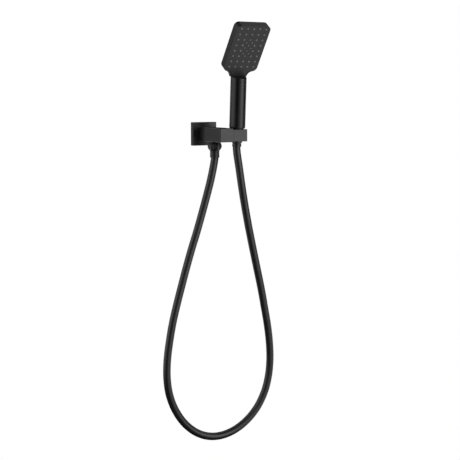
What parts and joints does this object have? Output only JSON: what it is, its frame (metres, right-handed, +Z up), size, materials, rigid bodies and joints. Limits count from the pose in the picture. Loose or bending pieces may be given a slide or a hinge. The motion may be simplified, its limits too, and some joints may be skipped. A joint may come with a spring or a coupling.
{
  "type": "hand shower with holder",
  "caption": "Matt black hand shower with a flat rectangular head, standing in a swivel holder on a square wall outlet, with a smooth hose hanging in a loop.",
  "frame": {"origin": "on the wall's surface, on the axis of the inlet thread", "axes": "+X to the right along the wall, +Y into the wall, +Z up"},
  "size_m": [0.2344, 0.1565, 0.7918],
  "materials": {
    "black_metal": "satin black coating",
    "black_plastic": "satin black coating",
    "face_plastic": "matt black",
    "silicone": "soft dark grey",
    "hose_skin": "smooth satin black",
    "rubber": "black rubber",
    "brass": "machined brass",
    "steel": "plain steel",
    "nylon": "black nylon",
    "white_plastic": "natural plastic"
  },
  "bodies": {
    "bracket": {"wall_plate": "black_metal", "wall_seal": "rubber", "inlet_nipple": "brass", "nipple_o_rings": "rubber", "check_valve": "white_plastic", "arm": "black_metal", "grub_screw": "steel", "outlet_nipple": "black_metal", "outlet_washer": "rubber", "outlet_nut": "black_metal", "outlet_tail": "brass", "outlet_ferrule": "black_metal", "hose": "hose_skin", "friction_washer": "nylon", "pivot_screw": "steel"},
    "handset": {"holder_block": "black_metal", "spring_washer": "steel", "cone_nut": "black_metal", "cone_ferrule": "black_metal", "cone_tail": "brass", "cone_washer": "rubber", "handle_connector": "white_plastic", "connector_o_ring": "rubber", "flow_limiter": "white_plastic", "water_tube": "white_plastic", "handset_shell": "black_plastic", "divider_plate": "white_plastic", "head_seal": "rubber", "head_screws": "steel", "nozzle_mat": "silicone", "face_plate": "face_plastic"}
  },
  "joints": [
    {"name": "holder_swivel", "type": "hinge", "parent": "bracket", "child": "handset", "pos_m": [0.017, -0.0782, -0.00065], "axis": [1, 0, 0], "range_deg": [-30, 30], "deforming": ["hose"]}
  ]
}
